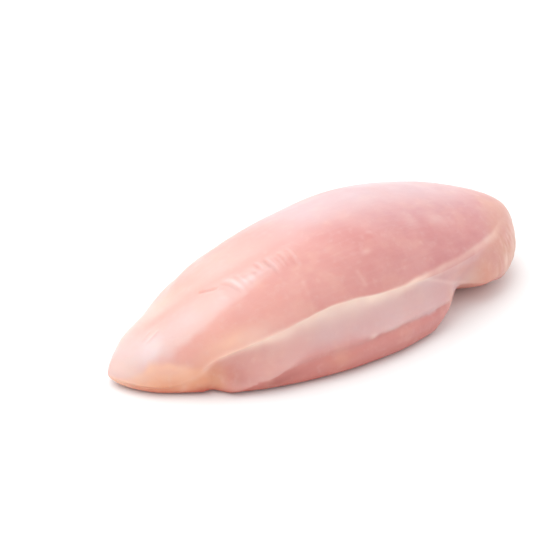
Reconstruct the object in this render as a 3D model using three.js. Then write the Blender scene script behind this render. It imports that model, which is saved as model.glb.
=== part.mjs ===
// A raw chicken breast, boned and skinned: one plump fillet that lies on its flat side.
// Millimetres, +Z up. X runs from the pointed tip (-X) to the thick end (+X). The crest, where the
// dome of muscle ends in a lip, and the pale side under it face -Y. The origin is on the surface
// that the fillet lies on, under the middle of its box.
import * as THREE from "three";

// Driving dimensions
const LENGTH = 170;
const WIDTH = 78;
const HEIGHT = 40;
const HALF = WIDTH / 2;

// Lines along the fillet, each as evenly spaced control values from the tip to the thick end.
// Heights are shares of HEIGHT, and sideways places are shares of HALF.
const CROWN_HEIGHT = [0.28, 0.475, 0.69, 0.835, 0.935, 0.985, 0.995, 0.935, 0.85, 0.74, 0.7];
const CROWN = [0.04, 0, -0.02, -0.04, -0.05, -0.04, -0.03, -0.01, -0.01, -0.05, -0.09];
const FAR_EDGE = [0.145, 0.375, 0.615, 0.745, 0.825, 0.88, 0.95, 1, 0.935, 0.745, 0.55];
const NEAR_EDGE = [-0.2, -0.48, -0.74, -0.9, -0.94, -0.93, -0.9, -0.86, -0.78, -0.68, -0.53];
const CREST_HEIGHT = [0.1, 0.225, 0.4, 0.53, 0.635, 0.588, 0.565, 0.53, 0.53, 0.55, 0.5];
const RIM = [-0.145, -0.465, -0.778, -0.91, -0.99, -1.01, -0.98, -0.88, -0.74, -0.69, -0.53];
const FOLD_HEIGHT = [0, 0, 0.045, 0.245, 0.25, 0.27, 0.275, 0.265, 0.22, 0.18, 0.15];

// The dome is a superellipse that is widest at this share of its height
const DOME_WAIST = 0.25;
const DOME_POWER = 2.1;
const FAR_TUCK = 9;

// The noses of the two ends: how far each rounds off, how squarely, and where its point lies
const TIP = { reach: 11, power: 2.05, y: 1.9, z: 3.6 };
const END = { reach: 30, power: 2.4, y: -0.5, z: 15.5 };

// The line that both ends round off to swings from the tip's nose to the other over this stretch
const AXIS_TURN = { from: 0.3 * LENGTH, to: 0.7 * LENGTH };

// Towards the tip the crest drops to the surface. It is a lip along the middle, and at both ends
// the dome and the side run smoothly into each other.
const CREST_LOW = 4;
const CREST_RISE = { from: 11, to: 28 };
const LIP = 0.5;
const LIP_START = { from: 18, to: 29 };
const LIP_END = { from: 118, to: 160 };

// The rim is the widest line of the near side: how high it lies, and how far and how fully the
// underside tucks in below it. It is the lobe's first, then a flap's and last the blunt end's.
const LOBE = { height: 5.5, tuck: 6, power: 2 };
const FLAP = { height: 8.6, tuck: 15, power: 1.25, start: 107, full: 122 };
const BLUNT = { height: 9.5, tuck: 14.5, power: 2, start: 138, full: 158 };
const RIM_HIGHEST = 0.6; // of the crest's height

// The notch in the rim between the lobe and the flap, and how the thick end lifts off the surface
const NOTCH = { at: 128, reach: 13, depth: 5.2, lift: 1.5 };
const LIFT = { start: 144, end: LENGTH, height: 4 };

// The small pit and the swelling where the crest meets the surface, and the hollow above them
const PIT = { at: 26.5, reach: 4.2, depth: 1.8 };
const SWELLING = { at: 31.5, reach: 4.5, depth: 0.6 };
const HOLLOW = { at: 32, reach: 8, slope: 0.55 };

// How steeply the side runs in under the lip, as a share of its drop
const SIDE_SLOPE = 0.35;
const END_SIDE_SLOPE = 0.1;

// The fold along the near side, with the membrane's edge above it and the lobe's belly below
const EDGE = { above: 1.2, reach: 1.6, height: 0.4 };
const GROOVE = { above: -0.8, reach: 1.3, height: -0.7 };
const BELLY = { above: -4, reach: 3, height: 0.8 };

// The share of the side over which that relief grows from the rim up
const RELIEF_START = 0.3;

// The crest stays this share of the way from the waist to the crown, or more
const LEAST_SHARE = 0.02;

// The turn round the dome over which its slope at the crest is measured, in radians
const SLOPE_STEP = 0.02;

// Cross-sections along the length, and the points of each round its sides
const STATIONS = 100;
const ROWS = { nearUnder: 4, side: 10, domeNear: 12, domeFar: 14, farUnder: 5, floor: 8 };

const { lerp, smoothstep } = THREE.MathUtils;

// The smooth curve (a uniform cubic B-spline) of evenly spaced control values, at share t along it
function along(values, t) {
  const last = values.length - 1;
  const before = 2 * values[0] - values[1];
  const after = 2 * values[last] - values[last - 1];
  const padded = [before, ...values, after];
  const k = Math.min(Math.floor(t * last), last - 1);
  const f = t * last - k;
  const weights = [(1 - f) ** 3, 3 * f ** 3 - 6 * f ** 2 + 4, -3 * f ** 3 + 3 * f ** 2 + 3 * f + 1, f ** 3];
  return weights.reduce((sum, weight, i) => sum + (weight * padded[k + i]) / 6, 0);
}

// A smooth hump of height 1 at its middle and 0 from its reach on
function hump(x, { at, reach }) {
  const share = Math.min(Math.abs(x - at) / reach, 1);
  return Math.cos((share * Math.PI) / 2) ** 2;
}

// A bell of the given height, centred a little above or below the fold
function bell(heightOverFold, { above, reach, height }) {
  return height * Math.exp(-(((heightOverFold - above) / reach) ** 2));
}

// Evenly spaced shares of a stretch, from 0 up to but not including 1
function shares(rows) {
  return Array.from({ length: rows }, (_, i) => i / rows);
}

// How much of a lip the crest is at x, from 0 to 1
function lipShare(x) {
  return smoothstep(x, LIP_START.from, LIP_START.to) * (1 - smoothstep(x, LIP_END.from, LIP_END.to));
}

// How far the outline has opened at a distance from a nose, from 0 at the nose to 1 at its reach
function openingFrom(nose, distance) {
  const left = 1 - Math.min(distance / nose.reach, 1);
  return (1 - left ** nose.power) ** (1 / nose.power);
}

// A point of the dome over the waist, at an angle up from the edge that the dome has at waist height
function domePoint(crown, edgeY, angle) {
  const waistZ = DOME_WAIST * crown.z;
  const out = Math.abs(Math.cos(angle)) ** (2 / DOME_POWER);
  const up = Math.sin(angle) ** (2 / DOME_POWER);
  return [lerp(crown.y, edgeY, out), lerp(waistZ, crown.z, up)];
}

// Where the dome of the cross-section at x ends in the crest, and how steeply it falls there
function crestOf(x, crown, nearY) {
  const waistZ = DOME_WAIST * crown.z;
  const rise = smoothstep(x, CREST_RISE.from, CREST_RISE.to);
  const z = lerp(CREST_LOW, HEIGHT * along(CREST_HEIGHT, x / LENGTH), rise);
  const share = Math.max((z - waistZ) / (crown.z - waistZ), LEAST_SHARE);
  const angle = Math.asin(share ** (DOME_POWER / 2));
  const [y, domeZ] = domePoint(crown, nearY, angle);
  const [aboveY, aboveZ] = domePoint(crown, nearY, angle + SLOPE_STEP);
  return { y, z, angle, slope: (y - aboveY) / (aboveZ - domeZ) };
}

// A measure of the rim at x, which turns from the lobe's to the flap's and on to the blunt end's
function rimMeasure(x, name) {
  const value = lerp(LOBE[name], FLAP[name], smoothstep(x, FLAP.start, FLAP.full));
  return lerp(value, BLUNT[name], smoothstep(x, BLUNT.start, BLUNT.full));
}

// The rim of the cross-section at x, and the slope of the side where it meets the lip
function rimOf(x, crest) {
  const notch = hump(x, NOTCH);
  const endSide = smoothstep(x, NOTCH.at - NOTCH.reach, NOTCH.at);
  const dent = NOTCH.depth * notch + PIT.depth * hump(x, PIT) - SWELLING.depth * hump(x, SWELLING);
  return {
    y: HALF * along(RIM, x / LENGTH) + dent,
    z: Math.min(rimMeasure(x, "height") + NOTCH.lift * notch, RIM_HIGHEST * crest.z),
    tuck: rimMeasure(x, "tuck"),
    power: rimMeasure(x, "power"),
    lipSlope: lerp(SIDE_SLOPE, END_SIDE_SLOPE, endSide) + HOLLOW.slope * hump(x, HOLLOW),
  };
}

// The near underside, a quarter of a superellipse from the floor's height up to the rim
function nearUnderPoints(rim, floorZ) {
  return shares(ROWS.nearUnder).map((share) => {
    const angle = (share * Math.PI) / 2;
    const out = Math.sin(angle) ** (2 / rim.power);
    const up = 1 - Math.cos(angle) ** (2 / rim.power);
    return [rim.y + rim.tuck * (1 - out), lerp(floorZ, rim.z, up)];
  });
}

// The far underside, a quarter ellipse from the dome's waist down to the floor's height
function farUnderPoints(farY, waistZ, floorZ) {
  return shares(ROWS.farUnder).map((share) => {
    const angle = (share * Math.PI) / 2;
    return [farY - FAR_TUCK * (1 - Math.cos(angle)), lerp(waistZ, floorZ, Math.sin(angle))];
  });
}

// The near side from the rim up to the crest, with the fold along it
function sidePoints(x, rim, crest) {
  const foldZ = HEIGHT * along(FOLD_HEIGHT, x / LENGTH);
  const lip = lipShare(x);
  const slope = lerp(crest.slope, rim.lipSlope, lip);
  const drop = crest.z - rim.z;
  return shares(ROWS.side).map((share) => {
    const down = 1 - share;
    const z = rim.z + drop * share;
    const sweep = lerp(crest.y, rim.y, down * down * (3 - 2 * down));
    const inward = slope * drop * down * share ** 2;
    const bells = bell(z - foldZ, EDGE) + bell(z - foldZ, GROOVE) + bell(z - foldZ, BELLY);
    return [sweep + inward - lip * bells * smoothstep(share, 0, RELIEF_START), z];
  });
}

// One cross-section as a closed ring of [y, z], from the near underside over the crown and back
function ring(x) {
  const t = x / LENGTH;
  const crown = { y: HALF * along(CROWN, t), z: HEIGHT * along(CROWN_HEIGHT, t) };
  const farY = HALF * along(FAR_EDGE, t);
  const nearY = HALF * along(NEAR_EDGE, t);
  const crest = crestOf(x, crown, nearY);
  const rim = rimOf(x, crest);
  const floorZ = LIFT.height * smoothstep(x, LIFT.start, LIFT.end);
  const domeNear = shares(ROWS.domeNear).slice(1);
  const domeFar = shares(ROWS.domeFar);
  const points = [
    ...nearUnderPoints(rim, floorZ),
    ...sidePoints(x, rim, crest),
    [crest.y - LIP * lipShare(x), crest.z],
    ...domeNear.map((share) => domePoint(crown, nearY, lerp(crest.angle, Math.PI / 2, share))),
    ...domeFar.map((share) => domePoint(crown, farY, (1 - share) * (Math.PI / 2))),
    ...farUnderPoints(farY, DOME_WAIST * crown.z, floorZ),
    ...shares(ROWS.floor).map((share) => [lerp(farY - FAR_TUCK, rim.y + rim.tuck, share), floorZ]),
  ];
  const open = openingFrom(TIP, x) * openingFrom(END, LENGTH - x);
  const turn = smoothstep(x, AXIS_TURN.from, AXIS_TURN.to);
  const axis = [lerp(TIP.y, END.y, turn), lerp(TIP.z, END.z, turn)];
  return points.map(([y, z]) => [lerp(axis[0], y, open), lerp(axis[1], z, open)]);
}

// All the points: the tip's nose, the rings with closer spacing at both ends, and the thick end's nose
function surfacePoints() {
  const points = [[0, TIP.y, TIP.z]];
  for (let i = 1; i < STATIONS; i++) {
    const x = (LENGTH / 2) * (1 - Math.cos((Math.PI * i) / STATIONS));
    points.push(...ring(x).map(([y, z]) => [x, y, z]));
  }
  points.push([LENGTH, END.y, END.z]);
  return points;
}

// Moves and stretches the points so that they fill the box of the driving dimensions
function fitToBox(points) {
  const ys = points.map((point) => point[1]);
  const yMin = Math.min(...ys);
  const yMax = Math.max(...ys);
  const top = Math.max(...points.map((point) => point[2]));
  return points.map(([x, y, z]) => [
    x - LENGTH / 2,
    (y - (yMin + yMax) / 2) * (WIDTH / (yMax - yMin)),
    z * (HEIGHT / top),
  ]);
}

// Triangles between neighbouring rings, and a fan at each nose, all facing out
function surfaceTriangles(count, perRing) {
  const triangles = [];
  const last = count - 1;
  const lastRing = last - perRing;
  for (let j = 0; j < perRing; j++) {
    const next = (j + 1) % perRing;
    triangles.push(0, 1 + j, 1 + next);
    for (let start = 1; start < lastRing; start += perRing) {
      const [a, b] = [start + j, start + next];
      triangles.push(a, a + perRing, b + perRing);
      triangles.push(a, b + perRing, b);
    }
    triangles.push(last, lastRing + next, lastRing + j);
  }
  return triangles;
}

function breastGeometry() {
  const perRing = Object.values(ROWS).reduce((sum, rows) => sum + rows);
  const points = fitToBox(surfacePoints());
  const geometry = new THREE.BufferGeometry();
  geometry.setAttribute("position", new THREE.Float32BufferAttribute(points.flat(), 3));
  geometry.setIndex(surfaceTriangles(points.length, perRing));
  geometry.computeVertexNormals();
  return geometry;
}

const meat = new THREE.MeshStandardMaterial({ color: 0xebaca8, roughness: 0.35, metalness: 0 });
const breast = new THREE.Mesh(breastGeometry(), meat);
breast.name = "chicken_breast";

const part = new THREE.Group();
part.add(breast);

export default part;
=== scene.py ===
# A raw chicken breast, boned and skinned, lying on a pale floor in soft studio light.
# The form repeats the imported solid's outlines at a finer grid, with the small relief added.
import math

import bpy
import numpy as np
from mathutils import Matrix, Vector


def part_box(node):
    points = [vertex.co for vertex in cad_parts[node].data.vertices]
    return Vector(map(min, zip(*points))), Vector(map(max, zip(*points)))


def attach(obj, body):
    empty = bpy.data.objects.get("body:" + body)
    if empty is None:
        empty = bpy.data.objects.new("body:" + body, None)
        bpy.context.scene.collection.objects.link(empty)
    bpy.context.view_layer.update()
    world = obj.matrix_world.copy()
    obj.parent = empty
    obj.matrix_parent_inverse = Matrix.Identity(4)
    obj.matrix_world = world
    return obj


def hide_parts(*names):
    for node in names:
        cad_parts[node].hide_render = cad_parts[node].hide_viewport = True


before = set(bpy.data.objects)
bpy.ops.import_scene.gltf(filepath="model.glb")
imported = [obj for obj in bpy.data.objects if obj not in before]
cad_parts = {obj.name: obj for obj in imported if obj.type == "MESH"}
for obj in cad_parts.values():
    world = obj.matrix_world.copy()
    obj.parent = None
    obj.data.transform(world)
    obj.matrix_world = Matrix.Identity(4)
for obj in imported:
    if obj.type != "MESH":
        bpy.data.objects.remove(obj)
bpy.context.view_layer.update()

# Driving dimensions in millimetres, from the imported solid
NODE = "chicken_breast"
low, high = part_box(NODE)
MM = 0.001
LENGTH, WIDTH, HEIGHT = [(high[i] - low[i]) / MM for i in range(3)]
HALF = WIDTH / 2

# Lines along the fillet, each as evenly spaced control values from the tip to the thick end.
# Heights are shares of HEIGHT, and sideways places are shares of HALF.
CROWN_HEIGHT = [0.28, 0.475, 0.69, 0.835, 0.935, 0.985, 0.995, 0.935, 0.85, 0.74, 0.7]
CROWN = [0.04, 0, -0.02, -0.04, -0.05, -0.04, -0.03, -0.01, -0.01, -0.05, -0.09]
FAR_EDGE = [0.145, 0.375, 0.615, 0.745, 0.825, 0.88, 0.95, 1, 0.935, 0.745, 0.55]
NEAR_EDGE = [-0.2, -0.48, -0.74, -0.9, -0.94, -0.93, -0.9, -0.86, -0.78, -0.68, -0.53]
CREST_HEIGHT = [0.1, 0.225, 0.4, 0.53, 0.635, 0.588, 0.565, 0.53, 0.53, 0.55, 0.5]
RIM = [-0.145, -0.465, -0.778, -0.91, -0.99, -1.01, -0.98, -0.88, -0.74, -0.69, -0.53]
FOLD_HEIGHT = [0, 0, 0.045, 0.245, 0.25, 0.27, 0.275, 0.265, 0.22, 0.18, 0.15]

# The dome: its widest height as a share of its crown's, its roundness, and the tuck below it on the far side
DOME_WAIST = 0.25
DOME_POWER = 2.1
FAR_TUCK = 9

# The two noses: how far in they open, how bluntly, and where their points lie; and where one axis turns
# to the other
TIP = dict(reach=11, power=2.05, y=1.9, z=3.6)
END = dict(reach=30, power=2.4, y=-0.5, z=15.5)
AXIS_TURN = (0.3 * LENGTH, 0.7 * LENGTH)

# The crest: its height at the tip and where it rises from it, and its lip and where that starts and ends
CREST_LOW = 4
CREST_RISE = (11, 28)
LIP = 0.5
LIP_START = (18, 29)
LIP_END = (118, 160)
LEAST_SHARE = 0.02
SLOPE_STEP = 0.02

# The rim's height, tuck and roundness in its three stretches, its notch, and the underside's lift at the end
LOBE = dict(height=5.5, tuck=6, power=2)
FLAP = dict(height=8.6, tuck=15, power=1.25, start=107, full=122)
BLUNT = dict(height=9.5, tuck=14.5, power=2, start=138, full=158)
RIM_HIGHEST = 0.6
NOTCH = dict(at=128, reach=13, depth=5.2, lift=1.5)
LIFT = dict(start=144, end=170, height=4)

# The pit, swelling and hollow near the tip, and the side's slope elsewhere
PIT = dict(at=26.5, reach=4.2, depth=1.8)
SWELLING = dict(at=31.5, reach=4.5, depth=0.6)
HOLLOW = dict(at=32, reach=8, slope=0.55)
SIDE_SLOPE = 0.35
END_SIDE_SLOPE = 0.1

# The relief along the fold, and the share of the side's height over which it starts
EDGE = dict(above=1.2, reach=1.6, height=0.4)
GROOVE = dict(above=-0.8, reach=1.3, height=-0.7)
BELLY = dict(above=-4, reach=3, height=0.8)
RELIEF_START = 0.3

# How much squarer than the solid's the lowest edge is, where the soft flesh settles
SETTLED = 0.9

# The fine grid: how many cross-sections, the share of them that crowds at each nose, how far apart the rest
# lie, as points of share and step, and how many points each stretch of a cross-section has
STATIONS = 385
END_STATIONS = 0.08
CROWDED = [(0, 0.8), (0.4, 0.8), (0.5, 1.2), (1, 1.2)]
ROWS = dict(near_under=14, side=52, dome_near=92, dome_far=56, far_under=14, floor=22)


def lerp(a, b, t):
    return a + (b - a) * t


def smoothstep(x, start, end):
    t = np.clip((x - start) / (end - start), 0, 1)
    return t * t * (3 - 2 * t)


def follow(x, line):
    """The value at x of a line through the given points of x and value."""
    places, values = zip(*line)
    return np.interp(x, places, values)


def along(values, t):
    """The smooth curve (a uniform cubic B-spline) of evenly spaced control values, at share t along it."""
    padded = [2 * values[0] - values[1], *values, 2 * values[-1] - values[-2]]
    last = len(values) - 1
    k = min(int(t * last), last - 1)
    f = t * last - k
    weights = [(1 - f) ** 3, 3 * f**3 - 6 * f**2 + 4, -3 * f**3 + 3 * f**2 + 3 * f + 1, f**3]
    return sum(w * p for w, p in zip(weights, padded[k : k + 4])) / 6


def hump(x, shape):
    """A smooth hump of height 1 at its middle and 0 from its reach on."""
    return math.cos(min(abs(x - shape["at"]) / shape["reach"], 1) * math.pi / 2) ** 2


def bell(over_fold, shape):
    """A bell of the given height, centred a little above or below the fold."""
    return shape["height"] * np.exp(-(((over_fold - shape["above"]) / shape["reach"]) ** 2))


def shares(rows):
    return np.arange(rows) / rows


def lip_share(x):
    return smoothstep(x, *LIP_START) * (1 - smoothstep(x, *LIP_END))


def opening_from(nose, distance):
    """How far the outline has opened at a distance from a nose, from 0 at the nose to 1 at its reach."""
    left = 1 - min(distance / nose["reach"], 1)
    return (1 - left ** nose["power"]) ** (1 / nose["power"])


def opening(x):
    return opening_from(TIP, x) * opening_from(END, LENGTH - x)


def dome_point(crown, edge_y, angle):
    """A point of the dome over the waist, at an angle up from the edge at waist height."""
    out = np.abs(np.cos(angle)) ** (2 / DOME_POWER)
    up = np.sin(angle) ** (2 / DOME_POWER)
    return lerp(crown[0], edge_y, out), lerp(DOME_WAIST * crown[1], crown[1], up)


def crest_of(x, crown, near_y):
    """Where the dome ends in the crest at x: y, z, the angle round the dome, and its slope there."""
    waist_z = DOME_WAIST * crown[1]
    z = lerp(CREST_LOW, HEIGHT * along(CREST_HEIGHT, x / LENGTH), smoothstep(x, *CREST_RISE))
    share = max((z - waist_z) / (crown[1] - waist_z), LEAST_SHARE)
    angle = math.asin(share ** (DOME_POWER / 2))
    y, dome_z = dome_point(crown, near_y, angle)
    above_y, above_z = dome_point(crown, near_y, angle + SLOPE_STEP)
    return y, z, angle, (y - above_y) / (above_z - dome_z)


def rim_measure(x, name):
    """A measure of the rim at x, which turns from the lobe's to the flap's and the blunt end's."""
    value = LOBE[name]
    for stretch in (FLAP, BLUNT):
        value = lerp(value, stretch[name], smoothstep(x, stretch["start"], stretch["full"]))
    return value


def rim_of(x, crest_z):
    """The rim, which is the near side's widest point at x: y, z and the side's slope up at the lip."""
    notch = hump(x, NOTCH)
    end_side = smoothstep(x, NOTCH["at"] - NOTCH["reach"], NOTCH["at"])
    dent = NOTCH["depth"] * notch + PIT["depth"] * hump(x, PIT) - SWELLING["depth"] * hump(x, SWELLING)
    y = HALF * along(RIM, x / LENGTH) + dent
    z = min(rim_measure(x, "height") + NOTCH["lift"] * notch, RIM_HIGHEST * crest_z)
    lip_slope = lerp(SIDE_SLOPE, END_SIDE_SLOPE, end_side) + HOLLOW["slope"] * hump(x, HOLLOW)
    return y, z, lip_slope


def side_points(x, rim, crest):
    """The near side from the rim up to the crest, with the fold along it."""
    crest_y, crest_z, _, dome_slope = crest
    rim_y, rim_z, lip_slope = rim
    share = shares(ROWS["side"])
    down = 1 - share
    drop = crest_z - rim_z
    z = rim_z + drop * share
    over_fold = z - HEIGHT * along(FOLD_HEIGHT, x / LENGTH)
    relief = bell(over_fold, EDGE) + bell(over_fold, GROOVE) + bell(over_fold, BELLY)
    relief *= smoothstep(share, 0, RELIEF_START)
    sweep = lerp(crest_y, rim_y, down * down * (3 - 2 * down))
    inward = lerp(dome_slope, lip_slope, lip_share(x)) * drop * down * share**2
    return sweep + inward - lip_share(x) * relief, z


def under_points(x, rim, lift):
    """The near underside, from the floor out and up to the rim: round, or flat under the flap."""
    turn = shares(ROWS["near_under"]) * math.pi / 2
    settled = SETTLED * smoothstep(rim_measure(x, "power"), 1.5, 2)
    power = 2 / (rim_measure(x, "power") + settled)
    y = rim[0] + rim_measure(x, "tuck") * (1 - np.sin(turn) ** power)
    return y, lerp(lift, rim[1], 1 - np.cos(turn) ** power)


def ring(x):
    """One cross-section as closed rows of y and z, from the near underside over the crown and back."""
    t = x / LENGTH
    crown = HALF * along(CROWN, t), HEIGHT * along(CROWN_HEIGHT, t)
    far_y = HALF * along(FAR_EDGE, t)
    near_y = HALF * along(NEAR_EDGE, t)
    waist_z = DOME_WAIST * crown[1]
    crest = crest_of(x, crown, near_y)
    rim = rim_of(x, crest[1])
    lift = LIFT["height"] * smoothstep(x, LIFT["start"], LIFT["end"])
    stretches = [under_points(x, rim, lift), side_points(x, rim, crest)]
    stretches.append(([crest[0] - LIP * lip_share(x)], [crest[1]]))
    near = lerp(crest[2], math.pi / 2, shares(ROWS["dome_near"])[1:])
    stretches.append(dome_point(crown, near_y, near))
    stretches.append(dome_point(crown, far_y, (1 - shares(ROWS["dome_far"])) * math.pi / 2))
    turn = shares(ROWS["far_under"]) * math.pi / 2
    stretches.append((far_y - FAR_TUCK * (1 - np.cos(turn)), lerp(waist_z, lift, np.sin(turn))))
    floor = lerp(far_y - FAR_TUCK, stretches[0][0][0], shares(ROWS["floor"]))
    stretches.append((floor, np.full(ROWS["floor"], lift)))
    y = np.concatenate([s[0] for s in stretches])
    z = np.concatenate([s[1] for s in stretches])
    axis_turn = smoothstep(x, *AXIS_TURN)
    open_share = opening(x)
    y = lerp(lerp(TIP["y"], END["y"], axis_turn), y, open_share)
    z = lerp(lerp(TIP["z"], END["z"], axis_turn), z, open_share)
    return np.stack([np.full_like(y, x), y, z], axis=1)


def form_grid():
    """All cross-sections as one array of points, fitted to the box of the solid."""
    share = (np.arange(STATIONS) + 0.5) / STATIONS
    steps = np.minimum(1, np.minimum(share, 1 - share) / END_STATIONS) * follow(share, CROWDED)
    places = LENGTH * np.concatenate([[0], np.cumsum(steps) / steps.sum()])
    grid = np.array([ring(x) for x in np.minimum(places, LENGTH)])
    y = grid[..., 1]
    grid[..., 0] -= LENGTH / 2
    grid[..., 1] = (y - (y.min() + y.max()) / 2) * WIDTH / (y.max() - y.min())
    grid[..., 2] *= HEIGHT / grid[..., 2].max()
    return grid


# Helpers for the small relief and the zones of colour

LATTICE_CELLS = 24
LATTICE_SHIFT = 5.37
SHORTEST_NORMAL = 1e-9


def noise(points, size, seed):
    """Smooth random values from -1 to 1 over the points, with features of about the given size."""
    lattice = np.random.default_rng(seed).uniform(-1, 1, (LATTICE_CELLS,) * 3)
    scaled = points / size + LATTICE_SHIFT
    base = np.floor(scaled).astype(int)
    share = scaled - base
    share = share * share * (3 - 2 * share)
    total = np.zeros(points.shape[:-1])
    for corner in np.ndindex(2, 2, 2):
        weight = np.prod(np.where(np.array(corner) == 1, share, 1 - share), axis=-1)
        index = (base + np.array(corner)) % LATTICE_CELLS
        total += weight * lattice[index[..., 0], index[..., 1], index[..., 2]]
    return total


def clouded(size, seed, stretch=1):
    """Uneven values around 0.85, in clouds of the given size."""
    return 0.85 + 0.3 * noise(form * stretch, size, seed)


def window(value, start, end, soft):
    """1 between start and end, fading to 0 over the soft distance outside them."""
    return smoothstep(value, start - soft, start) * (1 - smoothstep(value, end, end + soft))


def ridge(distance, width):
    """1 at distance 0, fading away over the width to either side."""
    return np.exp(-((distance / width) ** 2))


def spot(u, v, at, reach):
    """A round soft spot of height 1 in the two coordinates."""
    return ridge(u - at[0], reach[0]) * ridge(v - at[1], reach[1])


def spots(u, v, table):
    """Soft spots in the two coordinates, each given as height, place and reach."""
    return sum(height * spot(u, v, at, reach) for height, at, reach in table)


def stroke(u, v, line, width):
    """1 on the line through the given points, fading away over the width to either side."""
    nearest = np.full(u.shape, np.inf)
    for (u0, v0), (u1, v1) in zip(line, line[1:]):
        du, dv = u1 - u0, v1 - v0
        share = np.clip(((u - u0) * du + (v - v0) * dv) / (du * du + dv * dv), 0, 1)
        nearest = np.minimum(nearest, np.hypot(u - u0 - share * du, v - v0 - share * dv))
    return ridge(nearest, width)


def strokes(u, v, table):
    """Strokes in the two coordinates, each given as height, width and line."""
    return sum(height * stroke(u, v, line, width) for height, width, line in table)


def followed(lines):
    """The values along the fillet of several named lines, in their order."""
    return [follow(x, line) for line in lines.values()]


def grid_normals(points):
    """Unit normals of the grid, facing out."""
    around = np.roll(points, -1, axis=1) - np.roll(points, 1, axis=1)
    lengthwise = np.gradient(points, axis=0)
    found = np.cross(lengthwise, around)
    found[0] = (-1, 0, 0)
    found[-1] = (1, 0, 0)
    return found / np.maximum(np.linalg.norm(found, axis=-1, keepdims=True), SHORTEST_NORMAL)


def soften(points, row, reach, times):
    """Rounds the grid off along one row, by averaging each point with its neighbours round the ring."""
    rows = np.arange(row - reach, row + reach + 1)
    for _ in range(times):
        points[:, rows] = (points[:, rows - 1] + 2 * points[:, rows] + points[:, rows + 1]) / 4
    return points


# How the crest is rounded off: the rows to either side, and how often; and where in x narrow turns to wide
NARROW = (3, 4)
WIDE = (9, 30)
WIDENS = (104, 124)


def softened_crest(points):
    """Rounds the crest off: narrowly where it is a lip, and widely where the membrane has left it."""
    narrow = soften(points, CREST_ROW, *NARROW)
    wide = soften(narrow.copy(), CREST_ROW, *WIDE)
    share = smoothstep(points[..., 0] + LENGTH / 2, *WIDENS)[..., None]
    return lerp(narrow, wide, share)


def distance_round(points, row):
    """How far each point lies from the given row, measured round its ring: above zero on the dome."""
    steps = np.linalg.norm(np.diff(points, axis=1), axis=-1)
    total = np.concatenate([np.zeros((len(points), 1)), np.cumsum(steps, axis=1)], axis=1)
    return total - total[:, row : row + 1]


# The form as a grid, and where each of its points lies and faces: all in millimetres

CREST_ROW = ROWS["near_under"] + ROWS["side"]
FLOOR_ROW = sum(ROWS.values()) - ROWS["floor"]
END_RISES = (142, 156)

# The shares of its normal between which a point starts to face down, near or far, or no longer sideways
FACES = dict(down=(0.5, 0.9), near=(-0.2, 0.3), far=(0.55, 0.8), up_or_down=(0.3, 0.75))

form = softened_crest(form_grid())
normals = grid_normals(form)
x = form[..., 0] + LENGTH / 2
y = form[..., 1]
z = form[..., 2]
past_crest = distance_round(form, CREST_ROW)
row = np.arange(form.shape[1])[None, :] + 0 * x
fold_z = np.interp(x, x[:, 0], [HEIGHT * along(FOLD_HEIGHT, t / LENGTH) for t in x[:, 0]])
over_fold = z - fold_z
is_side = 1.0 * (row < CREST_ROW)
faces_down = smoothstep(-normals[..., 2], *FACES["down"])
faces_near = smoothstep(-normals[..., 1], *FACES["near"])
faces_sideways = 1 - smoothstep(np.abs(normals[..., 2]), *FACES["up_or_down"])
is_floor = faces_down * (row >= FLOOR_ROW) * (1 - smoothstep(x, *END_RISES))
is_dome = (row >= CREST_ROW) - is_floor
faces_far = smoothstep(normals[..., 1], *FACES["far"]) * (1 - is_floor)

# The wavy seams of the far side, as a height, and of the underside, as a place in y. A stretch is how far
# in x the wave or the ripple takes for one radian.
SEAM = dict(height=10.5, wave=1.6, wave_stretch=17, ripple=0.8, ripple_stretch=7)
UNDER_SEAM = dict(middle=4, wave=3, wave_stretch=28)
seam_z = SEAM["height"] + SEAM["wave"] * np.sin(x / SEAM["wave_stretch"])
seam_z += SEAM["ripple"] * np.cos(x / SEAM["ripple_stretch"])
under_seam_y = UNDER_SEAM["middle"] + UNDER_SEAM["wave"] * np.sin(x / UNDER_SEAM["wave_stretch"])


# Where along the fillet a feature shows: its start and end in x, and how softly it fades outside them
SHOWS = dict(
    valley=(14, 76, 12),
    lilac=(84, 138, 28),
    branch=(108, 128, 5),
    far_muscle=(10, 156, 10),
    far_membrane=(56, 118, 24),
    far_seam=(40, 140, 16),
    under_seam=(25, 140, 15),
    notch_painted_shade=(122, 160, 6),
    loose_wrinkles=(38, 63, 5),
)

# The wrinkles across the membrane's edge: x, the middle and half of their length in y, width and height
RIDGES = [
    (43.6, -9.3, 4, 1, 0.9),
    (46.2, -9.5, 2.6, 0.7, 0.5),
    (48.6, -10.5, 2.6, 0.8, 0.45),
    (51.2, -10, 2.4, 0.6, 0.45),
    (54.2, -8.5, 2.4, 0.7, 0.85),
    (57.6, -11.2, 3.7, 0.8, 1),
    (59.2, -11.2, 2.6, 0.5, 0.45),
    (60.5, -11.4, 3, 0.5, 0.55),
    (62.4, -11.2, 3.3, 0.55, 0.55),
    (63.8, -11.4, 2.8, 0.5, 0.4),
    (65.2, -11.4, 3.7, 0.7, 0.85),
]

# Their middle in y, how they lean in x inward from it, by place in x, and how they bend; and, as points of
# x and y, the hem below them and the long crease before them
WRINKLES_Y = -10
WRINKLE_LEAN = [(40, 0.3), (56, 0.05), (70, 0)]
WRINKLE_BEND = 0.015
WRINKLE_HEM = [(47.5, -11.4), (51, -12.1), (56, -12.2)]
CREASE = [(33.6, -2.8), (34.8, -3.9), (36.3, -5.1), (37.8, -5.9)]

# The strands along the far side, each as points of x and z
FAR_STRANDS = [
    [(34, 9), (50, 14.5), (66, 17)],
    [(58, 20), (82, 25.5), (104, 25)],
    [(70, 14), (88, 18.5), (101, 19.5)],
    [(96, 16), (118, 21), (137, 20.5)],
    [(112, 14.5), (128, 16.5), (146, 14)],
]

# Zones of colour, each from 0 to 1. Their lines are points of x and value, unless they say otherwise.

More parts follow.
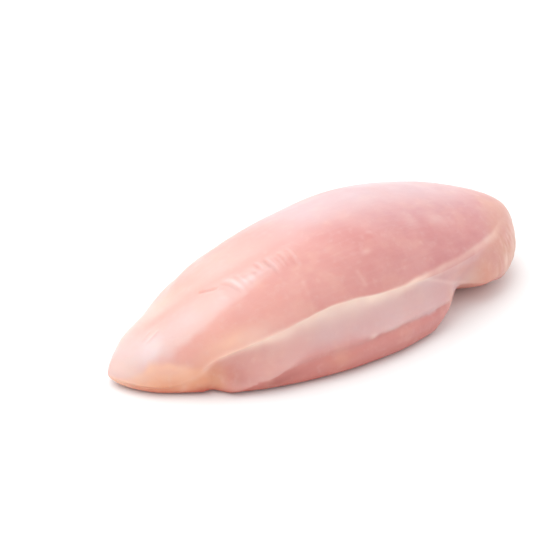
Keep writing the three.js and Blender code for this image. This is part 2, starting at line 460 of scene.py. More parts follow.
CREST_LINE = dict(
    reach_above=[(14, 1), (30, 1.3), (48, 1), (60, 0.5), (92, 0.5), (104, 1), (170, 1)],
    reach_below=[(14, 1), (30, 1.4), (42, 2), (50, 4), (60, 3.8), (68, 5.2), (78, 4.5), (90, 3.4), (104, 2)],
    middle=[(96, -0.4), (116, 1.6), (146, 1.8), (157, 4.2), (164, 7)],
    strength=[(16, 0), (22, 0.15), (30, 0.45), (38, 0.6), (58, 0.7), (100, 0.82), (112, 0.3)],
)
CREST_FADES = (146, 158)


def crest_zone():
    """The cream fat line of the crest, reaching furthest down at x of about 68, and a painted highlight over
    the thick end.
    """
    reach_above, reach_below, middle, strength = followed(CREST_LINE)
    over = past_crest - middle + 0.35 * (0.5 * noise(form, 5, 11) + 0.3 * noise(form, 2, 12))
    line = ridge(np.maximum(over, 0), reach_above) * ridge(np.maximum(-over, 0), reach_below)
    broken = 0.86 + 0.22 * noise(form, 4, 13)
    fade = 1 - smoothstep(x, *CREST_FADES)
    return np.clip(line * strength * fade * broken * (1 - is_floor), 0, 1)


FOLD_EDGE = dict(
    lowered=[(50, 0), (60, -0.9), (68, -0.9), (75, -0.2), (94, 0), (102, 0.7), (110, 0.7), (117, -0.4)],
    softness=[(42, 0.35), (48, 0.5), (55, 2.8), (60, 4), (72, 4), (82, 0.8), (118, 0.8)],
)


def above_fold():
    """1 above the fold and 0 below: a crisp edge near the tip, then a wide blend and a ragged edge."""
    lowered, softness = followed(FOLD_EDGE)
    ragged = 0.45 * noise(form, 4, 21) + 0.2 * noise(form, 1.5, 22)
    return smoothstep((over_fold + ragged + lowered) / softness, -1, 1)


STRIP_STRENGTH = [(24, 0), (36, 0.25), (50, 0.5), (62, 0.8), (74, 1), (118, 1), (130, 0.7), (144, 0)]
BRANCH_HEIGHT = [(100, 30), (107, 22.5), (114.4, 18.8), (125, 13.4), (131, 10), (140, 8)]


def over_branch():
    """How far each point lies over the membrane's upper edge where it leaves the crest for the notch."""
    return z - follow(x, BRANCH_HEIGHT)


def strip_zone():
    """The pale membrane between the crest and the fold."""
    strength = follow(x, STRIP_STRENGTH) * (1 - 0.25 * smoothstep(over_branch(), -0.5, 1.5))
    return np.clip(above_fold() * strength * clouded(9, 23) * is_side, 0, 1)


LOBE_STRENGTH = [(30, 0), (38, 1), (58, 1), (66, 0.8), (84, 0.75), (96, 0.6), (119, 0.55), (126, 0)]
# Red painted shade in the hollow beside the tip, as height, place and reach in x and z
RED_HOLLOW = [(0.45, (32, 7.5), (5, 4))]
DOME_BLUSH = [(0.33, (62, -14), (15, 9)), (0.15, (38, -19), (5, 4))]


def lobe_zone():
    """The bare red muscle below the fold and underneath, red painted shade in the hollow, and a faint blush
    on the dome.
    """
    near = is_side + (row < ROWS["near_under"])
    flank = (1 - above_fold()) * follow(x, LOBE_STRENGTH) * near * (0.92 + 0.2 * noise(form, 6, 24))
    under = is_floor * (0.4 + 0.5 * noise(form, 16, 25))
    hollow = spots(x, z, RED_HOLLOW) * is_side
    return np.clip(flank + under + hollow + spots(x, y, DOME_BLUSH) * is_dome, 0, 1)


PALE_LINE = dict(
    edge_y=[(0, -3), (9, -10), (22, -14), (35, -15.5), (50, -15), (60, -14), (65, -10), (72, -4), (170, 0)],
    softness=[(10, 1.4), (24, 0.7), (60, 0.7), (75, 3)],
    strength=[(0, 0.9), (20, 0.85), (30, 0.54), (42, 0.48), (52, 0.33), (66, 0.15), (110, 0.15), (140, 0)],
)
PALE_THINNED = [(0.35, (10, -2), (5, 4))]
PALE_FRONT = [(0.4, (5.8, -6.2), (2.6, 3.8))]


def pale_zone():
    """Silvery membrane over the upper dome, broad near the tip and fainter beyond, where it is also a
    painted highlight; and membrane on the far side.
    """
    edge_y, softness, strength = followed(PALE_LINE)
    ragged = 1.2 * noise(form, 9, 31) + 0.6 * noise(form, 3, 32)
    upper = smoothstep((y + ragged - edge_y) / softness, -1.5, 2) * (1 - 0.75 * smoothstep(y, 2, 28))
    # Thinner along the valley, as painted shade in its hollow, and in one spot near the tip
    thinned = (1 - 0.5 * valley()) * (1 - spots(x, y, PALE_THINNED))
    near = upper * strength * thinned + spots(x, y, PALE_FRONT)
    over_seam = smoothstep(z - seam_z + 2 * noise(form, 8, 37), 0, 3)
    far = 0.5 * faces_far * over_seam * window(x, *SHOWS["far_membrane"])
    return np.clip((near + far) * clouded(12, 33) * is_dome, 0, 1)


VALLEY_Y = [(14, 1), (50, -5), (85, -6)]
VALLEY_WIDTH = 2.6


def valley():
    """The shallow hollow lengthwise behind the membrane's band, 1 along its middle."""
    return ridge(y - follow(x, VALLEY_Y), VALLEY_WIDTH) * window(x, *SHOWS["valley"])


def far_zone():
    """Deeper pink muscle on the far side, deepest below its seam."""
    below = 1 - smoothstep(z - seam_z + 0.8 * noise(form, 4, 38), -1, 1.5)
    fibres = 0.8 + 0.35 * noise(form * (0.15, 1, 1), 2, 39)
    return np.clip(faces_far * (0.45 + 0.5 * below) * window(x, *SHOWS["far_muscle"]) * fibres, 0, 1)


# Painted highlights on the membrane: patches as height, place and reach in x and y, bands as height, width
# and line, and their share on the ridges
PAINTED_HIGHLIGHT_PATCHES = [
    (1, (12.2, -8), (4.5, 2.8)),
    (0.4, (12, -5), (5, 3.5)),
    (0.4, (21, -7.5), (6, 4)),
    (0.35, (15, -13), (3, 1.8)),
    (0.6, (6, -2), (6, 8)),
]
PAINTED_HIGHLIGHT_BANDS = [
    (0.4, 4, [(26, -9), (34, -11), (46, -11)]),
    (0.35, 2.2, [(47, -10.5), (56, -11.8)]),
]
PAINTED_HIGHLIGHT_ON_RIDGES = [(44, 0.6), (50, 0.5), (58, 0.4)]


def painted_highlight_zone():
    """Painted highlights: patches on the tip, a band from there along the pale edge, and the wrinkles'
    ridges.
    """
    membrane = (spots(x, y, PAINTED_HIGHLIGHT_PATCHES) + strokes(x, y, PAINTED_HIGHLIGHT_BANDS)) * clouded(6, 34)
    ridges = follow(x, PAINTED_HIGHLIGHT_ON_RIDGES) * np.maximum(wrinkles(), 0)
    return np.clip((membrane + ridges) * is_dome, 0, 1)


LILAC_EDGE_Y = [(84, -15), (100, -22)]
LILAC_BLEND = 8


def lilac_zone():
    """The cool, cloudy membrane along the top of the dome, past the middle, with a painted sheen of white
    light over it.
    """
    across = smoothstep(y + 1.5 * noise(form, 14, 35), follow(x, LILAC_EDGE_Y), LILAC_BLEND)
    across *= 1 - 0.45 * smoothstep(y, 16, 30)
    return np.clip(window(x, *SHOWS["lilac"]) * across * clouded(12, 36) * is_dome, 0, 1)


PEACH_TOP = [(0, 4), (6.6, 8.5), (9, 11.8), (14, 12.6), (20, 11.2), (28, 10)]
PEACH_ENDS = (18, 28)
PEACH_BY_CREST = [(0.75, (32, 3), (10, 4))]
PEACH_ABOVE = [(0.3, (25, 6), (7, 4))]


def peach_zone():
    """The warm, thin flesh low on the near side of the tip and beside the crest, in faint streaks."""
    tip = smoothstep(follow(x, PEACH_TOP) - z + 0.8 * noise(form, 4, 44), -0.8, 1.6) * faces_near
    tip *= 1 - smoothstep(x, *PEACH_ENDS)
    dome = (spots(x, past_crest, PEACH_BY_CREST) + spots(x, y, PEACH_ABOVE)) * is_dome
    return np.clip((tip + dome) * clouded(2, 43, (0.25, 1, 1)), 0, 1)


# The amber spots in x and z: the pit, two above it, the lobe, and three by the thick end
AMBER_SPOTS = [
    (1.5, (24.6, 3), (3.8, 3.2)),
    (0.5, (21.5, 9), (2.3, 2.6)),
    (0.75, (26, 9), (4, 4)),
    (0.35, (67, 7), (6, 2.5)),
    (0.35, (126, 17.5), (5, 2.5)),
    (0.5, (139, 13), (4, 3)),
    (0.35, (139, 6), (5, 3)),
]


def amber_zone():
    """The orange tint at the foot of the tip, at the pit and in a few spots of the near side."""
    foot = smoothstep(-z, -10.5, -4) * smoothstep(x, 0, 10) * (1 - smoothstep(x, 20, 30))
    return np.clip((foot + spots(x, z, AMBER_SPOTS)) * faces_near * clouded(5, 42), 0, 1)


# Where the cut face starts to show in x, and the direction in which it turns away from the near side and is
# painted darker as shade
CUT_STARTS = (140, 154)
TURNS_AWAY = (0.83, -0.56, 0)


def upright_zone():
    """The upright part of the thick end."""
    return smoothstep(x, *CUT_STARTS) * faces_sideways


def end_streaks():
    """Upright streaks round the thick end, above and below 0."""
    return 0.5 * noise(form * (1, 1, 0.2), 2.6, 81) + 0.8 * noise(form * (1, 1, 0.22), 1.5, 84)


def tan_zone():
    """Brownish streaks in the cut face at the thick end, and painted shade where it turns away."""
    streaks = upright_zone() * smoothstep(-end_streaks(), -0.1, 0.6)
    # Painted shade where the thick end turns away from the near side
    turning = smoothstep(normals @ TURNS_AWAY, 0.8, 1) * smoothstep(x, 148, 160)
    return np.clip(0.5 * streaks + 0.6 * turning, 0, 1)


# Where the end's tan colour starts, as points of height and x, and how far it blends before and after
END_START = [(0, 122), (18, 132), (26, 146), (40, 160)]
END_BLEND = (3, 7)
# Painted shade along the flap's last edge, where it curves back: height, place and reach in x and z
FLAP_EDGE_SHADE = [(0.6, (118.8, 11), (2, 4.5))]


def end_zone():
    """The tan cut face at the thick end, and painted shade along the flap's last edge, where it curves back.
    """
    start = follow(np.maximum(z, 0), END_START)
    ragged = 2.5 * noise(form, 7, 51) + noise(form, 2.5, 52)
    far_top = smoothstep(y, -10, 6) * smoothstep(z, 20, 28)
    face = smoothstep(x + ragged, start - END_BLEND[0], start + END_BLEND[1]) * (1 - 0.8 * far_top)
    return np.clip(face * (0.8 + 0.3 * noise(form, 6, 53)) + spots(x, z, FLAP_EDGE_SHADE) * is_side, 0, 1)


# How strong the painted shade is at the foot, where it meets what it lies on, and on the flank just above it
PAINTED_SHADE_LINES = dict(
    foot=[(0, 0.15), (10, 0.35), (17, 0.6), (24, 0.65), (30, 0.4), (38, 0.5), (55, 0.35), (90, 0.12)],
    flank=[(38, 0), (44, 0.18), (52, 0.1), (84, 0.1), (96, 0.14), (108, 0.1), (118, 0)],
)
FOOT_SHADE_HEIGHT = 1.1
# Spots of painted shade: in the hollow in x and z, below the fold in x and the height over it, and in the
# pit in x and z
HOLLOW_PAINTED_SHADE = [(0.25, (31.5, 8), (4.5, 3.5))]
FOLD_PAINTED_SHADE = [(0.4, (44, -2.5), (10, 1.8))]
PIT_PAINTED_SHADE = [(0.35, (22.8, 3), (2.8, 1.8))]


def painted_shade_zone():
    """Painted shade in deep red: in the hollow, below the fold, in the pit, the grooves and crease, and at
    the foot.
    """
    foot, flank = followed(PAINTED_SHADE_LINES)
    low = foot * ridge(z, FOOT_SHADE_HEIGHT) + flank * smoothstep(-z, -7.5, -3)
    hollow = (spots(x, z, HOLLOW_PAINTED_SHADE) + spots(x, over_fold, FOLD_PAINTED_SHADE)) * is_side
    grooves = (0.3 * np.maximum(-wrinkles(), 0) + 0.1 * crease()) * is_dome
    near = (spots(x, z, PIT_PAINTED_SHADE) + low * (1 - is_floor)) * faces_near
    return np.clip(hollow + grooves + near, 0, 1)


# Painted contact shade with a red glow: its strength along the fillet and its height, and a spot of it in
# the pit
CONTACT_SHADE_STRENGTH = [(0, 0.3), (8, 1), (75, 1), (100, 0.6), (120, 0.4)]
CONTACT_SHADE_HEIGHT = 2.3
PIT_CONTACT_SHADE = [(0.8, (23, 1.2), (3.6, 1.8))]


def painted_contact_shade_zone():
    """Painted contact shade and red glow on the raw flesh low down, under the notch, in the pit and round
    the underside's edge.
    """
    down = -normals[..., 2]
    low = 0.9 * follow(x, CONTACT_SHADE_STRENGTH) * ridge(z, CONTACT_SHADE_HEIGHT) * (1 - 0.4 * smoothstep(down, 0.7, 1))
    notch = 0.5 * smoothstep(down, 0.3, 0.8) * window(x, *SHOWS["notch_painted_shade"])
    rim = 0.5 * is_floor * (1 - distance_in()) * (1 - smoothstep(x, 130, 145))
    return np.clip((low + notch + spots(x, z, PIT_CONTACT_SHADE) * faces_near) * (1 - is_floor) + rim, 0, 1)


def wrinkles():
    """Crumples where the membrane ends, above 0 on their ridges and below 0 in their grooves."""
    inward = y - WRINKLES_Y
    across = x + follow(x, WRINKLE_LEAN) * inward + WRINKLE_BEND * inward**2 + 0.5 * noise(form, 4, 65)
    crumpled = np.zeros_like(x)
    for at, middle, half, width, height in RIDGES:
        place = (across - at) / width
        length = np.exp(-(((y - middle + noise(form, 3, 66)) / half) ** 4))
        crumpled += height * length * (ridge(place, 1) - 0.6 * ridge(place + 1.6, 1))
    crumpled += 0.35 * stroke(x, y + 0.5 * noise(form, 3, 64), WRINKLE_HEM, 0.8)
    loose = noise(np.stack([across, 0.45 * y, 0.45 * z], axis=-1), 1.5, 68)
    patch = window(x, *SHOWS["loose_wrinkles"]) * smoothstep(y, -16, -11) * (1 - smoothstep(y, -8, -4))
    return crumpled + 0.35 * loose * patch


def crease():
    """The long crease in the membrane before the wrinkles."""
    return stroke(x, y, CREASE, 0.6)


# Marks of fat, and two painted highlights: strokes and spots on the dome in x and y, and beside the crest in
# x and the distance past it; the point on the fold in x and the height over it; and pale spots of the near
# side and its strip in x and z
FAT_STROKES = [
    (0.2, 0.9, [(62, -22.5), (61.1, -26.3), (60.6, -29.8)]),
    (0.2, 0.9, [(81.5, -26.5), (82.5, -30)]),
]
FAT_ON_DOME = [
    (0.25, (88.5, -21.8), (2, 0.9)),
    (0.2, (113.3, -14.7), (2.5, 4)),
    (0.3, (124, -15.5), (4.5, 3.5)),
]
# The second spot beside the crest, on the end's ridge, and the first on the near side, at the thick end, are
# painted highlights
FAT_AND_HIGHLIGHT_BY_CREST = [(0.3, (40, 3), (8, 3)), (0.3, (143, 2), (3.5, 1.3))]
FAT_POINT = [(0.5, (81, 0.4), (1.6, 0.9))]
FAT_AND_HIGHLIGHT_ON_NEAR_SIDE = [(0.6, (151.4, 12.3), (1.6, 3)), (0.6, (3, 7.5), (3.5, 2.5))]
FAT_ON_STRIP = [(0.2, (99, 16.5), (10, 4)), (0.4, (132.5, 11.5), (4, 4))]
BRANCH_WIDTH = 0.8


def fat_and_highlight_zone():
    """Thin pale marks of fat and membrane: flecks, streaks and the point on the fold; and two painted
    highlights.
    """
    dome = (0.6 + 0.6 * noise(form, 2, 69)) * strokes(x, y, FAT_STROKES)
    dome += spots(x, y, FAT_ON_DOME) + spots(x, past_crest, FAT_AND_HIGHLIGHT_BY_CREST)
    branch = 0.3 * ridge(over_branch(), BRANCH_WIDTH) * window(x, *SHOWS["branch"])
    near = spots(x, over_fold, FAT_POINT) + spots(x, z, FAT_AND_HIGHLIGHT_ON_NEAR_SIDE)
    near += (spots(x, z, FAT_ON_STRIP) + branch) * is_side
    end = 0.3 * np.maximum(end_streaks(), 0) * smoothstep(x, 144, 156) * (0.2 + 0.8 * faces_sideways)
    return np.clip(dome * is_dome + near * faces_near + end + far_strands(), 0, 1)


def far_strands():
    """Thin strands of fat and membrane along the far side, and the seams there and underneath."""
    strands = 0.55 * ridge(z - seam_z, 0.8) * window(x, *SHOWS["far_seam"])
    for line in FAR_STRANDS:
        strands += 0.4 * stroke(x + 0.8 * noise(form, 6, 105), z + 0.6 * noise(form, 4, 106), line, 0.5)
    under = 0.5 * is_floor * ridge(y - under_seam_y, 1.3) * window(x, *SHOWS["under_seam"])
    return (strands * faces_far + under) * (0.7 + 0.5 * noise(form, 5, 107))


# Small relief: heights along the normals

DOME_STROKES = [
    (0.14, 0.9, [(43.5, -4.6), (46.3, -7.8), (50.1, -9.2), (53.1, -10.8)]),
    (0.2, 0.45, [(11, -2.8), (12.6, -2.1), (14.3, -1.9)]),
    (0.2, 0.45, [(12, -4.5), (14, -4.3), (15.9, -3.9)]),
]
TIP_DENT = [(0.3, (17.3, -0.4), (3, 1.4))]
CREASE_DEPTH = 0.35
VALLEY_DEPTH = 0.22
FAR_FOLDS = dict(height=0.16, spacing=6)


def dome_relief():
    """Gentle waves, the membrane's wrinkles, creases and dents, and the far side's folds and seam."""
    waves = 0.3 * noise(form, 24, 61) + 0.1 * noise(form, 10, 62)
    grain = 0.02 * noise(form * (0.18, 1, 1), 1.5, 63)
    raised = 0.32 * wrinkles() + strokes(x, y, DOME_STROKES)
    sunk = CREASE_DEPTH * crease() + spots(x, y, TIP_DENT) + VALLEY_DEPTH * valley()
    turn = 2 * math.pi * (z + 1.2 * noise(form * (0.25, 1, 1), 6, 67)) / FAR_FOLDS["spacing"]
    folds = FAR_FOLDS["height"] * np.cos(turn) * smoothstep(y, 4, 14) * window(z, 5, 24, 6)
    seam = 0.2 * ridge(z - seam_z, 1) - 0.45 * ridge(z - seam_z + 2, 1.4)
    far = (seam * window(x, *SHOWS["far_seam"]) + 0.15 * noise(form * (0.2, 1, 1), 2.5, 68)) * faces_far
    return waves + grain + raised - sunk + folds + far


# How crisply the membrane's lower edge is torn: its share of the full step, and where in x
TORN = [(1, (34, 48, 5)), (0.1, (55, 78, 5)), (0.5, (84, 116, 6))]
TORN_STEP = 0.3
RAISED_POINT = [(0.25, (81, 0.2), (1.6, 0.9))]


def side_relief():
    """The membrane's lower edge, crisp where it is torn, with its raised point, and gentle waves."""
    torn = sum(share * window(x, *stretch) for share, stretch in TORN)
    edge = smoothstep(over_fold + 0.35 * noise(form, 3.5, 71), -0.5, 0.25) * smoothstep(-over_fold, -4, 0)
    waves = 0.22 * noise(form, 11, 72) + 0.07 * noise(form * (0.4, 1, 1), 3, 73)
    return TORN_STEP * torn * edge + spots(x, over_fold, RAISED_POINT) + waves


def end_relief():
    """Upright wrinkles and soft waves on the face of the thick end."""
    inside = smoothstep(x, 140, 153) * (1 - is_floor) * (0.2 + 0.8 * faces_sideways)
    streaks = 0.28 * end_streaks() * (0.7 + 0.5 * noise(form, 7, 82))
    return inside * (streaks + 0.12 * noise(form, 4, 83) + 0.2 * noise(form, 10, 85))


FIBRE_SPACING = 3.1
FIBRE_SLANT = 0.35


def floor_relief():
    """The underside's muscle fibres, running aslant, and a long hollow seam along the middle."""
    aslant = y - FIBRE_SLANT * x + 2.2 * noise(form, 12, 91)
    fibres = 0.12 * (1 + np.cos(2 * math.pi * aslant / FIBRE_SPACING)) * (0.6 + 0.4 * noise(form, 9, 92))
    seam = 0.5 * ridge(y - under_seam_y, 2.2) * window(x, *SHOWS["under_seam"])
    return -is_floor * distance_in() * (fibres + seam + 0.1 * (1 + noise(form, 5, 93)))


def distance_in():
    """How deep a floor point lies inside the floor's outline, from 0 near it to 1 from 8 mm on."""
    across = np.minimum(np.abs(y - y[:, FLOOR_ROW : FLOOR_ROW + 1]), np.abs(y - y[:, :1]))
    ends = np.minimum(x, LENGTH - x)
    return smoothstep(np.minimum(across, ends), 0.5, 8)


def relief():
    """All relief together, none at the two noses, and none of the dome's and side's on the crest itself."""
    ends = smoothstep(x, 0, 3) * smoothstep(LENGTH - x, 0, 2)
    shell = (1 - is_side) * (1 - is_floor) * dome_relief() + is_side * side_relief()
    shell *= smoothstep(np.abs(past_crest), 0, 1.5) * (1 - smoothstep(x, 150, 163))
    return ends * (smoothstep(z, 0, 1.5) * (shell + end_relief()) + floor_relief())


def fitted(points):
    """The points kept inside the solid's box."""
    points[..., 0] = np.clip(points[..., 0], -LENGTH / 2, LENGTH / 2)
    points[..., 1] *= min(1, HALF / np.abs(points[..., 1]).max())
    points[..., 2] *= min(1, HEIGHT / points[..., 2].max())
    points[..., 2] = np.maximum(points[..., 2], 0)
    return points


# The mesh


def breast_mesh(points, zones):
    """One closed mesh of quads between neighbouring rings, with a fan at each nose."""
    inner = points[1:-1]
    rings, around = inner.shape[:2]
    corners = [*(inner.reshape(-1, 3) * MM), points[0, 0] * MM, points[-1, 0] * MM]
    index = np.arange(rings * around).reshape(rings, around)
    after = np.roll(index, -1, axis=1)
    quads = np.stack([index[:-1], index[1:], after[1:], after[:-1]], axis=-1).reshape(-1, 4)
    tip, end = rings * around, rings * around + 1
    fans = [(tip, a, b) for a, b in zip(index[0], after[0])]
    fans += [(end, b, a) for a, b in zip(index[-1], after[-1])]
    mesh = bpy.data.meshes.new("chicken_breast_flesh")
    mesh.from_pydata(corners, [], [*quads.tolist(), *fans])
    mesh.shade_smooth()
    for name, values in zones.items():
        attribute = mesh.attributes.new(name, "FLOAT", "POINT")
        attribute.data.foreach_set("value", [*values[1:-1].ravel(), values[0, 0], values[-1, 0]])
    return mesh


# The material


def srgb(*levels):
    """A colour given as 0 to 255 levels, as linear values."""
    shares_of_one = [level / 255 for level in levels]
    return tuple(c / 12.92 if c <= 0.04045 else ((c + 0.055) / 1.055) ** 2.4 for c in shares_of_one)


class Nodes:
    """Short ways to add nodes to one material."""

    def __init__(self, name):
        self.material = bpy.data.materials.new(name)
        self.material.use_nodes = True
        self.tree = self.material.node_tree
        self.shader = self.tree.nodes["Principled BSDF"]
        self.place = self.tree.nodes.new("ShaderNodeTexCoord").outputs["Object"]

    def link(self, value, socket):
        if isinstance(value, bpy.types.NodeSocket):
            self.tree.links.new(value, socket)
        else:
            socket.default_value = value

    def settings(self, values):
        for name, value in values.items():
            self.link(value, self.shader.inputs[name])

    def zone(self, name):
        node = self.tree.nodes.new("ShaderNodeAttribute")
        node.attribute_name = name
        return node.outputs["Fac"]

    def times(self, a, b):
        node = self.tree.nodes.new("ShaderNodeMath")
        node.operation = "MULTIPLY"
        self.link(a, node.inputs[0])
        self.link(b, node.inputs[1])
        return node.outputs[0]

    def ramp(self, value, start, end, low_value, high_value):
        node = self.tree.nodes.new("ShaderNodeMapRange")
        node.interpolation_type = "SMOOTHSTEP"
        self.link(value, node.inputs["Value"])
        node.inputs["From Min"].default_value = start
        node.inputs["From Max"].default_value = end
        node.inputs["To Min"].default_value = low_value
        node.inputs["To Max"].default_value = high_value
        return node.outputs["Result"]

    def noise(self, size, detail, stretch, offset):
        """Fractal noise with features of about the given size in millimetres."""
        mapping = self.tree.nodes.new("ShaderNodeMapping")
        mapping.inputs["Scale"].default_value = stretch
        mapping.inputs["Location"].default_value = (offset, offset, offset)
        self.link(self.place, mapping.inputs["Vector"])
        node = self.tree.nodes.new("ShaderNodeTexNoise")
        node.inputs["Scale"].default_value = 1 / (size * MM)
        node.inputs["Detail"].default_value = detail
        self.link(mapping.outputs[0], node.inputs["Vector"])
        return node.outputs["Fac"]

    def mix(self, share, a, b):
        node = self.tree.nodes.new("ShaderNodeMix")
        node.data_type = "RGBA"
        self.link(share, node.inputs["Factor"])
        for value, socket in ((a, node.inputs["A"]), (b, node.inputs["B"])):
            self.link((*value, 1) if isinstance(value, tuple) else value, socket)
        return node.outputs["Result"]

    def layered(self, colour, layers, where=1):
        """The colour under layers of uneven tint, which show as strongly as the given share says."""
        for pattern, levels, strength, tint in layers:
            share = self.times(self.ramp(self.noise(*pattern), *levels, 0, strength), where)
            colour = self.mix(share, colour, srgb(*tint))
        return colour

    def bump(self, height, strength, depth, normal):
        node = self.tree.nodes.new("ShaderNodeBump")
        node.inputs["Strength"].default_value = strength
        node.inputs["Distance"].default_value = depth * MM
        self.link(height, node.inputs["Height"])
        if normal:
            self.link(normal, node.inputs["Normal"])
        return node.outputs["Normal"]


# The muscle's own colour, at the tip and at the thick end
TIP_PINK = (221, 160, 148)
END_PINK = (194, 127, 127)

# How noise is stretched: not at all, along the fillet as its fibres are, and upright as in the cut end
EVEN = (1, 1, 1)
FIBROUS = (0.12, 1, 1)
STRANDS = (1, 1, 0.16)
GAPS = (1, 1, 0.14)

# Layers of uneven tint: the noise's size, detail, stretch and offset, the levels at which it starts and is
# full, how strongly it shows, and its colour. The deep ones lie under the zones, and the others over them.
DEEP_LAYERS = [
    ((14, 4, EVEN, 0), (0.35, 0.65), 0.35, (216, 161, 154)),
    ((22, 3, EVEN, 0.31), (0.45, 0.7), 0.3, (194, 115, 112)),
    ((1.6, 4, FIBROUS, 0), (0.42, 0.68), 0.05, (223, 194, 186)),
]
CUT_LAYERS = [
    ((1.6, 4, STRANDS, 0.4), (0.48, 0.7), 0.4, (233, 204, 190)),
    ((2.1, 4, GAPS, 0.9), (0.5, 0.72), 0.35, (190, 128, 108)),
]
TOP_LAYERS = [
    ((3, 4, EVEN, 0.7), (0.5, 0.8), 0.12, (227, 205, 197)),
    ((8, 3, EVEN, 0.53), (0.5, 0.7), 0.1, (231, 194, 168)),
]

# Each zone, how strongly it shows, and its colour
# Among these, the whitest tint is painted highlight, and the red contact tint and the deep red one are
# painted shade; the pale, lilac, crest and fat tints carry painted sheen in part, and the lobe, end and tan
# tints painted shade in part
TINTS = [
    ("pale", 0.8, (226, 200, 193)),
    ("lilac", 0.6, (208, 192, 198)),
    ("painted_highlight", 0.6, (229, 214, 216)),
    ("peach", 0.8, (238, 189, 160)),
    ("strip", 0.85, (209, 175, 174)),
    ("lobe", 0.85, (194, 119, 112)),
    ("end", 0.9, (207, 152, 134)),
    ("amber", 0.75, (217, 146, 108)),
    ("far", 0.6, (176, 102, 98)),
    ("tan", 0.8, (196, 142, 112)),
    ("painted_contact_shade", 0.9, (204, 86, 64)),
    ("painted_shade", 0.85, (145, 55, 42)),
    ("crest", 1, (253, 230, 211)),
    ("fat_and_highlight", 0.8, (236, 210, 200)),
]

# The moist film: its roughness as noise between two values, and the bumps of film, fibres and pores,
# each as a noise, the bump's strength and its depth in millimetres
WET = (7, 4, EVEN, 0.2)
WET_LEVELS = (0.3, 0.7)
WET_ROUGHNESS = (0.34, 0.46)
BUMPS = [
    ((6, 3, EVEN, 0.9), 0.25, 0.5),
    ((1.6, 4, FIBROUS, 0), 0.18, 0.25),
    ((0.7, 2, EVEN, 0), 0.15, 0.12),
]
FLESH = {
    "Subsurface Weight": 0.35,
    "Subsurface Scale": 0.0035,
    "Subsurface Radius": (1, 0.42, 0.3),
    "IOR": 1.45,
    "Specular IOR Level": 0.5,
    "Coat Weight": 0.3,
    "Coat Roughness": 0.3,
    "Coat IOR": 1.4,
}


def raw_chicken():
    """Moist raw poultry: pink muscle fibres under a thin, slightly cloudy membrane."""
    n = Nodes("raw_chicken")
    colour = n.mix(n.zone("toward_end"), srgb(*TIP_PINK), srgb(*END_PINK))
    colour = n.layered(colour, DEEP_LAYERS)
    for name, strength, tint in TINTS:
        colour = n.mix(n.times(n.zone(name), strength), colour, srgb(*tint))
    colour = n.layered(colour, CUT_LAYERS, n.times(n.zone("end"), n.zone("upright")))
    colour = n.layered(colour, TOP_LAYERS)
    normal = None
    for pattern, strength, depth in BUMPS:
        normal = n.bump(n.noise(*pattern), strength, depth, normal)
    roughness = n.ramp(n.noise(*WET), *WET_LEVELS, *WET_ROUGHNESS)
    n.settings({"Base Color": colour, "Roughness": roughness, "Normal": normal, **FLESH})
    return n.material


# The piece, its floor, lights and camera

# Where in x the muscle's colour turns from the tip's to the thick end's
COLOUR_TURNS = (20, 130)


def build_breast():
    zones = {
        "toward_end": smoothstep(x, *COLOUR_TURNS),
        "upright": upright_zone(),
        "pale": pale_zone(),
        "lilac": lilac_zone(),
        "painted_highlight": painted_highlight_zone(),
        "peach": peach_zone(),
        "strip": strip_zone(),
        "lobe": lobe_zone(),
        "end": end_zone(),
        "amber": amber_zone(),
        "far": far_zone(),
        "tan": tan_zone(),
        "painted_contact_shade": painted_contact_shade_zone(),
        "painted_shade": painted_shade_zone(),
        "crest": crest_zone(),
        "fat_and_highlight": fat_and_highlight_zone(),
    }
    points = fitted(form + normals * relief()[..., None])
    piece = bpy.data.objects.new("chicken_breast_flesh", breast_mesh(points, zones))
    bpy.context.collection.objects.link(piece)
    piece.data.materials.append(raw_chicken())
    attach(piece, "root")
    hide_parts(NODE)


# The pale floor: half its side in metres, and its finish
FLOOR_HALF = 4.0
FLOOR_FINISH = {"Base Color": (0.89, 0.89, 0.89, 1), "Roughness": 0.7, "Specular IOR Level": 0.2}


def build_floor():
    corners = [(sx * FLOOR_HALF, sy * FLOOR_HALF, 0) for sx, sy in ((-1, -1), (1, -1), (1, 1), (-1, 1))]
    mesh = bpy.data.meshes.new("floor")
    mesh.from_pydata(corners, [], [(0, 1, 2, 3)])
    floor = bpy.data.objects.new("floor", mesh)
    bpy.context.collection.objects.link(floor)
    n = Nodes("pale_floor")
    n.settings(FLOOR_FINISH)
    mesh.materials.append(n.material)


def toward(azimuth, elevation):
    """The direction at an azimuth from the near side (-Y), turning to +X, and an elevation, in degrees."""
    a, e = math.radians(azimuth), math.radians(elevation)
    return Vector((math.sin(a) * math.cos(e), -math.cos(a) * math.cos(e), math.sin(e)))


def look_at(item, target):
    item.rotation_euler = (Vector(target) - item.location).to_track_quat("-Z", "Y").to_euler()


# The lamp: its direction in degrees, its distance and size in metres, and how bright its face is
LAMP = dict(direction=(-165, 65), distance=1.1, size=1.5, radiance=1.2)


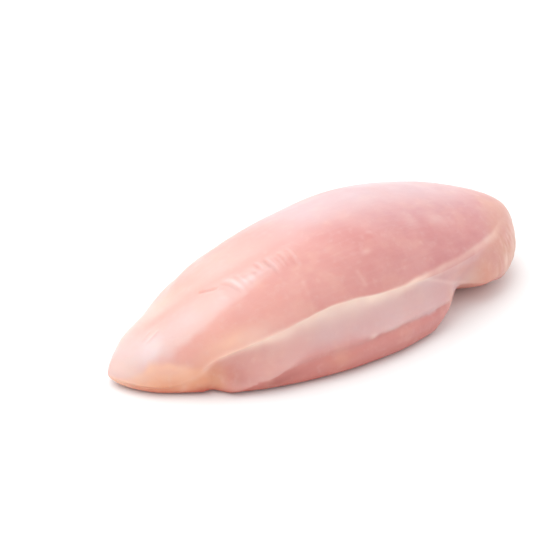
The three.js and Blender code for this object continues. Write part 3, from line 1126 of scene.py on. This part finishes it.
def build_lamp():
    """A square softbox behind the fillet, which faces its middle."""
    light = bpy.data.lights.new("key", "AREA")
    light.shape = "SQUARE"
    light.size = LAMP["size"]
    light.energy = LAMP["radiance"] * math.pi * LAMP["size"] ** 2
    lamp = bpy.data.objects.new("key", light)
    bpy.context.collection.objects.link(lamp)
    lamp.location = toward(*LAMP["direction"]) * LAMP["distance"]
    look_at(lamp, (0, 0, HEIGHT / 2 * MM))


# The studio's dimmest side, as a direction in degrees, and its brightness on the other sides and there
FRONT = (-34, 0)
STUDIO = {"From Min": 0.0, "From Max": 1.0, "To Min": 1.16, "To Max": 0.8}


def build_world():
    """A pale studio all round, dimmer towards the front, so that a soft shadow grounds the piece."""
    world = bpy.data.worlds.new("studio")
    bpy.context.scene.world = world
    world.use_nodes = True
    nodes, links = world.node_tree.nodes, world.node_tree.links
    place = nodes.new("ShaderNodeTexCoord")
    facing = nodes.new("ShaderNodeVectorMath")
    facing.operation = "DOT_PRODUCT"
    facing.inputs[1].default_value = toward(*FRONT)
    links.new(place.outputs["Generated"], facing.inputs[0])
    fall = nodes.new("ShaderNodeMapRange")
    links.new(facing.outputs["Value"], fall.inputs["Value"])
    for name, value in STUDIO.items():
        fall.inputs[name].default_value = value
    links.new(fall.outputs["Result"], nodes["Background"].inputs["Strength"])
    nodes["Background"].inputs["Color"].default_value = (1, 1, 1, 1)


# The camera: its sensor and lens and the place that it looks at in millimetres, the direction from that
# place to it in degrees, and its distance in metres
CAMERA = dict(sensor=36, lens=103.3, target=(-14.7, 12.2, 18.2), direction=(-33.8, 30), distance=0.545)


def build_camera():
    camera = bpy.data.cameras.new("camera")
    camera.sensor_width = CAMERA["sensor"]
    camera.lens = CAMERA["lens"]
    holder = bpy.data.objects.new("camera", camera)
    bpy.context.collection.objects.link(holder)
    target = Vector(CAMERA["target"]) * MM
    holder.location = target + toward(*CAMERA["direction"]) * CAMERA["distance"]
    look_at(holder, target)
    bpy.context.scene.camera = holder


build_breast()
build_floor()
build_lamp()
build_world()
build_camera()
bpy.context.scene.view_settings.view_transform = "Standard"
